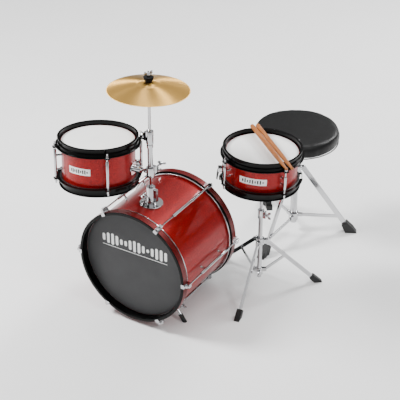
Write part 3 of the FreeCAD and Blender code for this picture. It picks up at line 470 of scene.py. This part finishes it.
def wave_mark():
    """Plain sound-wave bars over a thin line, printed on the front head."""
    bm = bmesh.new()
    count = 15
    for index in range(count):
        share = index / (count - 1)
        tall = 12.0 + 34.0 * abs(math.sin(math.pi * 2.6 * share + 0.5))
        x = MARK_HALF * (2.0 * share - 1.0)
        verts = box_at(bm, (x, MARK_Z, BASS_HEAD_Y + 0.1), (11.0, tall, 0.3))
        bmesh.ops.bevel(bm, geom=list({e for v in verts for e in v.link_edges
                                       if abs((e.verts[0].co - e.verts[1].co).z) > 1e-5}),
                        offset=5.0 * MM, segments=4, profile=0.5, affect="EDGES", material=-1)
    box_at(bm, (0.0, MARK_Z - 29.0, BASS_HEAD_Y + 0.1), (2 * MARK_HALF + 12.0, 1.8, 0.3))
    piece("front_head_mark", bm, BASS_FRONT, INK, "bass_drum")


def badge(name, matrix, body, degrees, height, width):
    """Thin curved plate on a small drum's shell with plain bars embossed on it."""
    bm = bmesh.new()
    radius = DRUM_SHELL_R + 0.1
    bmesh.ops.create_grid(bm, x_segments=32, y_segments=6, size=0.5)
    bmesh.ops.scale(bm, vec=(width * MM, 24.0 * MM, 1.0), verts=bm.verts)
    bmesh.ops.solidify(bm, geom=bm.faces[:], thickness=-0.7 * MM)
    for vert in bm.verts:
        angle = vert.co.x / (radius * MM)
        reach = radius * MM + vert.co.z
        vert.co = Vector((reach * math.cos(angle), reach * math.sin(angle), vert.co.y + height * MM))
    bmesh.ops.recalc_face_normals(bm, faces=bm.faces)
    turn = matrix @ Matrix.Rotation(math.radians(degrees), 4, "Z")
    piece(name + "_plate", bm, turn, INK, body)
    bars = bmesh.new()
    count = 9
    for index in range(count):
        tall = 6.0 + 9.0 * abs(math.sin(index * 1.1 + 0.6))
        angle = (index - (count - 1) / 2) * width * 0.092 / radius
        verts = box_at(bars, (radius + 0.75, 0.0, height), (0.5, 4.2, tall))
        bmesh.ops.transform(bars, matrix=Matrix.Rotation(angle, 4, "Z"), verts=verts)
    piece(name + "_bars", bars, turn, LACQUER, body)


# ---------------------------------------------------------------- cymbal and sticks

def cymbal_height(r):
    """Height of the cymbal's upper face at a radius: domed bell, then a bow that falls away."""
    dome_r = 46.0
    dome_height = 14.0
    bell_r = 40.0
    edge_fall = -30.0
    bell = -dome_height * (1 - math.sqrt(1 - (min(r, bell_r) / dome_r) ** 2))
    if r < bell_r:
        return bell
    share = (r - bell_r) / (CYMBAL_R - bell_r)
    return bell + (edge_fall - bell) * (0.75 * share + 0.25 * share * share)


def cymbal():
    """Bronze sheet 1.1 mm thick, spun from the cymbal's section."""
    radii = [6.5 + (CYMBAL_R - 6.7) * index / 44 for index in range(45)]
    upper = [(r, cymbal_height(r)) for r in radii]
    edge = [(CYMBAL_R, cymbal_height(CYMBAL_R) - 0.5)]
    lower = [(r, cymbal_height(r) - 1.1) for r in reversed(radii)]
    made = piece("bronze_cymbal", spun(upper + edge + lower, steps=128), CYMBAL, BRONZE, "cymbal", 60.0)
    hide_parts("cymbal")


def stick(name, body, cad_node, start, end):
    """Turned stick: chamfered butt, straight grip, long taper and an acorn tip."""
    length = (end - start).length / MM
    outline = [(0.0, 0.0), (STICK_R - 2.4, 0.0), (STICK_R - 0.8, 0.7), (STICK_R - 0.1, 2.4), (STICK_R, 4.5),
               (STICK_R, length * 0.70), (STICK_R * 0.92, length * 0.78), (STICK_R * 0.76, length * 0.87),
               (4.2, length - 17), (3.6, length - 12.5), (3.7, length - 11.5), (4.7, length - 9.5),
               (5.4, length - 6.5), (5.0, length - 3.2), (3.4, length - 1.0), (1.4, length - 0.1),
               (0.0, length)]
    matrix = Matrix.Translation(start) @ (end - start).to_track_quat("Z", "Y").to_matrix().to_4x4()
    mat = hickory(name + "_waxed_hickory", end - start)
    made = piece(name, spun(outline, closed=False, steps=40), matrix, mat, body, 60.0)
    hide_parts(cad_node)


def sticks():
    """Two sticks across the snare's rim, side by side."""
    start = Vector((-98.7, 97.8, 8.5))
    end = Vector((156.6, -115.9, 6.7))
    beside = Vector((14.0, 14.2, 0.0))
    for name, body, cad_node, shift in (("stick_near", "stick_left", "drumstick_left", Vector((0, 0, 0))),
                                        ("stick_far", "stick_right", "drumstick_right", beside)):
        stick(name, body, cad_node, SNARE @ ((start + shift) * MM), SNARE @ ((end + shift) * MM))


# ---------------------------------------------------------------- seat cushion

def seat_matrix():
    """Matrix at the middle of the seat's underside."""
    return Matrix.Translation(at(THRONE[0], THRONE[1], SEAT_TOP - SEAT_THICK))


def cushion_blank():
    """Foam block of the seat's full size: straight sides, a rolled top edge and a flat underside."""
    radius = SEAT_R - 1.2
    thick = SEAT_THICK - 0.8
    roll = 13.0
    outline = [(0.0, thick), (radius - roll, thick)]
    outline += [(radius - roll + roll * math.sin(turn), thick - roll + roll * math.cos(turn))
                for turn in (math.radians(15.0 * step) for step in range(1, 7))]
    outline += [(radius, 8.0), (radius - 1.6, 3.4), (radius - 5.6, 0.8), (0.0, 0.6)]
    return spun(outline, closed=False, steps=96)


def puffed(made):
    """Swell the cushion with a short cloth simulation, no further than its solid allows."""
    remesh = made.modifiers.new("remesh", "REMESH")
    remesh.mode = "VOXEL"
    remesh.voxel_size = 0.005
    apply_modifiers(made)
    rest = [v.co.copy() for v in made.data.vertices]
    cloth = made.modifiers.new("cloth", "CLOTH")
    cloth.settings.use_pressure = True
    cloth.settings.uniform_pressure_force = 4.0
    cloth.settings.effector_weights.gravity = 0.0
    cloth.settings.bending_stiffness = 6.0
    cloth.settings.tension_stiffness = 60.0
    cloth.settings.shrink_min = -0.02
    cloth.point_cache.frame_end = 20
    for number in range(1, 21):
        bpy.context.scene.frame_set(number)
    apply_modifiers(made)
    bpy.context.scene.frame_set(1)
    hold_to_solid(made, rest)
    ease_creases(made)


def ease_creases(made):
    """Relax the small creases that a stuffed vinyl cover doesn't keep."""
    bm = bmesh.new()
    bm.from_mesh(made.data)
    for _ in range(10):
        bmesh.ops.smooth_vert(bm, verts=bm.verts, factor=0.5, use_axis_x=True, use_axis_y=True,
                              use_axis_z=True)
    bm.to_mesh(made.data)
    bm.free()


def hold_to_solid(made, rest):
    """Cap how far the cloth moved and keep it inside the seat's solid; the underside stays flat."""
    centre = at(THRONE[0], THRONE[1], 0.0)
    low = (SEAT_TOP - SEAT_THICK + 0.4) * MM
    high = (SEAT_TOP - 0.3) * MM
    most = 2.5 * MM
    for vert, before in zip(made.data.vertices, rest):
        moved = vert.co - before
        if moved.length > most:
            vert.co = before + moved * (most / moved.length)
        vert.co.z = min(max(vert.co.z, low), high)
        if before.z < low + 3.0 * MM:
            vert.co.z = before.z
        out = Vector((vert.co.x - centre.x, vert.co.y - centre.y))
        limit = (SEAT_R - 0.4) * MM
        if out.length > limit:
            out *= limit / out.length
            vert.co.x = centre.x + out.x
            vert.co.y = centre.y + out.y


def apply_modifiers(made):
    """Bake the modifiers into the mesh."""
    depsgraph = bpy.context.evaluated_depsgraph_get()
    mesh = bpy.data.meshes.new_from_object(made.evaluated_get(depsgraph))
    old = made.data
    made.modifiers.clear()
    made.data = mesh
    bpy.data.meshes.remove(old)


def seat():
    """Puffed cushion under its leathercloth, and the welt round its underside."""
    made = piece("seat_pad", cushion_blank(), seat_matrix(), VINYL, "seat", 80.0)
    puffed(made)
    if not made.data.materials:
        made.data.materials.append(VINYL)
    made.data.shade_smooth()
    smooth = made.modifiers.new("rounding", "SUBSURF")
    smooth.levels = 1
    smooth.render_levels = 1
    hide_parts("seat_cushion")
    seat_trim()


def seat_trim():
    """Sewn welt where the side panel meets the seat's underside."""
    thick = 2.2
    radius = SEAT_R - 4.4
    ring = [(radius + thick * math.cos(math.tau * k / 10), 3.2 + thick * math.sin(math.tau * k / 10))
            for k in range(10)]
    made = piece("seat_lower_welt", spun(ring, steps=120), seat_matrix(), VINYL, "seat", 80.0)


# ---------------------------------------------------------------- CAD nodes' finishes

def paint(cad_node, mat, edge_mm=0.0):
    """Give a CAD node its finish and, where it has an edge radius, round its edges."""
    made = NODES[cad_node]
    for index in range(max(1, len(made.material_slots))):
        if index < len(made.material_slots):
            made.material_slots[index].material = mat
        else:
            made.data.materials.append(mat)
    if edge_mm:
        weld = made.modifiers.new("weld", "WELD")
        weld.merge_threshold = 0.00001
        bevel = made.modifiers.new("edge_radius", "BEVEL")
        bevel.width = edge_mm * MM
        bevel.segments = 2
        bevel.limit_method = "ANGLE"
        bevel.angle_limit = math.radians(40.0)
        bevel.harden_normals = False


def tip_plane(axis, degrees, foot_r, hub, foot_h):
    """Plane across a tripod leg where its rubber foot starts: a point and the leg's direction."""
    angle = math.radians(degrees)
    out = Vector((math.cos(angle), math.sin(angle), 0.0))
    origin = Vector((axis[0], axis[1], 0.0))
    top = origin + out * hub[0] + Vector((0, 0, hub[1]))
    foot = origin + out * foot_r + Vector((0, 0, FOOT_AXIS_Z))
    way = (foot - top).normalized()
    clear = 0.2
    start = foot - way * (foot_h + clear)
    return at(*start), way


def tripod_finishes():
    for index, degrees in enumerate(STAND_FEET, 1):
        start, way = tip_plane(STAND, degrees, STAND_FOOT_R, STAND_LEG_HUB, STAND_RUBBER)
        paint("stand_leg_%d" % index, tipped_chrome("stand_leg_%d_chrome" % index, start, way), 0.5)
        paint("stand_brace_%d" % index, CHROME, 0.5)
    for index, degrees in enumerate(THRONE_FEET, 1):
        start, way = tip_plane(THRONE, degrees, THRONE_FOOT_R, THRONE_LEG_HUB, THRONE_RUBBER)
        paint("throne_leg_%d" % index, tipped_chrome("throne_leg_%d_chrome" % index, start, way, 7.0), 0.8)
        paint("throne_brace_%d" % index, CHROME, 0.5)


def spur_finishes():
    slope = math.radians(SPUR_SLOPE)
    for side, name in ((1, "left"), (-1, "right")):
        way = Vector((side * math.cos(slope), 0.0, -math.sin(slope)))
        reach = BASS_AXIS_Z / math.sin(slope) - SPUR_RUBBER
        start = at(0.0, SPUR_Y, BASS_AXIS_Z) + way * (reach * MM)
        paint("spur_leg_" + name, tipped_chrome("spur_%s_chrome" % name, start, way), 0.4)


def basket_finish():
    """Chrome cradle with rubber rests at its arm ends, told apart by their distance from its axis."""
    mat, tree, shader = finish("chrome_cradle_with_rubber_rests")
    parts = node(tree, "ShaderNodeSeparateXYZ", {"Vector": place(tree)}).outputs
    centre = at(STAND[0], STAND[1], 0.0)
    east = node(tree, "ShaderNodeMath", {0: parts["X"], 1: centre.x}, operation="SUBTRACT")
    north = node(tree, "ShaderNodeMath", {0: parts["Y"], 1: centre.y}, operation="SUBTRACT")
    flat = node(tree, "ShaderNodeCombineXYZ", {"X": east.outputs[0], "Y": north.outputs[0]})
    reach = node(tree, "ShaderNodeVectorMath", {0: flat.outputs[0]}, operation="LENGTH").outputs["Value"]
    rubber = node(tree, "ShaderNodeMath", {0: reach, 1: CRADLE_REST_R * MM}, operation="GREATER_THAN")
    chrome_or(tree, shader, rubber.outputs["Value"], RUBBER_TONE, RUBBER_ROUGH)
    paint("stand_basket", mat, 0.8)


def pedal_finishes():
    paint("pedal_frame", POWDER, 0.6)
    paint("pedal_footboard", ribbed_board(), 0.8)
    paint("pedal_beater", beater_finish(), 0.8)


def ribbed_board():
    """Cast aluminium foot board with cross ribs 8 mm apart for grip."""
    mat, tree, shader = finish("cast_aluminium_foot_board", Base_Color=colour("B9BBBD"), Metallic=1.0)
    ribs = node(tree, "ShaderNodeTexWave", {"Vector": place(tree), "Scale": 39.0}, wave_type="BANDS",
                bands_direction="Y").outputs["Fac"]
    tree.links.new(spread(tree, grain(tree, 3.0), 0.28, 0.42), shader.inputs["Roughness"])
    bump(tree, shader, ribs, 0.6, 0.7)
    return mat


def beater_finish():
    """Chrome shaft with a felt head, told apart by their distance from the axle."""
    mat, tree, shader = finish("chrome_shaft_with_felt_head")
    inputs = {0: place(tree), 1: tuple(at(*BEATER_AXLE))}
    away = node(tree, "ShaderNodeVectorMath", inputs, operation="DISTANCE").outputs["Value"]
    felt = node(tree, "ShaderNodeMath", {0: away, 1: BEATER_FELT_FROM * MM}, operation="GREATER_THAN")
    chrome_or(tree, shader, felt.outputs["Value"], "D9D6CC", 0.95)
    hairs = node(tree, "ShaderNodeMath", {0: grain(tree, 1.0, 5.0), 1: felt.outputs["Value"]},
                 operation="MULTIPLY")
    bump(tree, shader, hairs.outputs["Value"], 0.3, 0.7)
    return mat


def finishes():
    for name in ("bass_shell", "tom_shell", "snare_shell"):
        paint(name, WRAP)
    paint("bass_hoops", LACQUER, 1.0)
    for name in ("tom_hoops", "snare_hoops"):
        paint(name, LACQUER, 0.8)
    for name in ("bass_claw_hooks", "bass_lugs", "tom_lugs", "snare_lugs"):
        paint(name, CHROME, 0.5)
    for name in ("tom_mount_base", "spur_brackets", "center_post", "tom_arm", "tom_bracket"):
        paint(name, CHROME, 0.7)
    for name in ("base_tee_screw", "post_clamp_wing", "arm_clamp_wing", "cymbal_wing_nut",
                 "tom_bracket_wing", "spur_wing_bolt_left", "spur_wing_bolt_right", "stand_wing_screw",
                 "throne_wing_screw"):
        paint(name, CHROME, 0.7)
    for name in ("cymbal_rod", "strainer_and_butt", "stand_lower_tube", "stand_leg_hub",
                 "seat_post", "throne_tube", "throne_collar"):
        paint(name, CHROME, 0.5)
    paint("cymbal_washers", FELT, 0.8)
    paint("snare_wires", STEEL)
    paint("seat_bracket", POWDER, 0.8)
    paint("strainer_lever", POWDER, 0.5)
    spur_finishes()
    tripod_finishes()
    basket_finish()
    pedal_finishes()


# ---------------------------------------------------------------- studio

def studio():
    """Pale floor, soft lights and the camera."""
    bm = bmesh.new()
    bmesh.ops.create_grid(bm, x_segments=1, y_segments=1, size=25.0)
    mesh = bpy.data.meshes.new("floor")
    bm.to_mesh(mesh)
    bm.free()
    floor = bpy.data.objects.new("floor", mesh)
    bpy.context.collection.objects.link(floor)
    mesh.materials.append(floor_paint())
    world = bpy.data.worlds.new("studio")
    bpy.context.scene.world = world
    world.use_nodes = True
    tree = world.node_tree
    sky = tree.nodes["Background"]
    way = node(tree, "ShaderNodeTexCoord").outputs["Generated"]
    height = node(tree, "ShaderNodeSeparateXYZ", {"Vector": way}).outputs["Z"]
    dome = ramp(tree, height, [(0.0, colour("A8A8A8")), (0.15, colour("989898")), (0.22, colour("303030")),
                               (0.34, colour("585858")), (0.62, colour("EAEAEA")), (1.0, colour("FFFFFF"))])
    tree.links.new(dome, sky.inputs["Color"])
    sky.inputs["Strength"].default_value = 1.1
    soft_light("key", (-2.4, -1.4, 3.2), size=1.2, power=240.0)
    soft_light("fill", (3.2, -1.2, 3.2), size=1.0, power=45.0)
    soft_light("back", (0.8, 3.0, 2.6), size=1.2, power=130.0)
    camera()


def soft_light(name, position, size, power):
    light = bpy.data.lights.new(name, "AREA")
    light.shape = "DISK"
    light.size = size
    light.energy = power
    made = bpy.data.objects.new(name, light)
    made.location = position
    made.rotation_euler = (Vector((0, 0, 0.35)) - Vector(position)).to_track_quat("-Z", "Y").to_euler()
    bpy.context.collection.objects.link(made)


def camera():
    lens = bpy.data.cameras.new("camera")
    lens.lens = 115.78
    lens.sensor_width = 36.0
    made = bpy.data.objects.new("camera", lens)
    stands = at(2127.2, -3199.2, 2750.0)
    aim = at(60.49, 184.29, 339.38)
    made.location = stands
    made.rotation_euler = (aim - stands).to_track_quat("-Z", "Y").to_euler()
    bpy.context.collection.objects.link(made)
    bpy.context.scene.camera = made


finishes()
bass_heads()
small_heads("tom", TOM, "tom", TOM_HEIGHT)
small_heads("snare", SNARE, "snare", SNARE_HEIGHT)
hoop_inlays()
wave_mark()
badge("tom_badge", TOM, "tom", degrees=-86.0, height=-88.0, width=84.0)
badge("snare_badge", SNARE, "snare", degrees=-75.0, height=-76.0, width=98.0)
cymbal()
sticks()
seat()
studio()
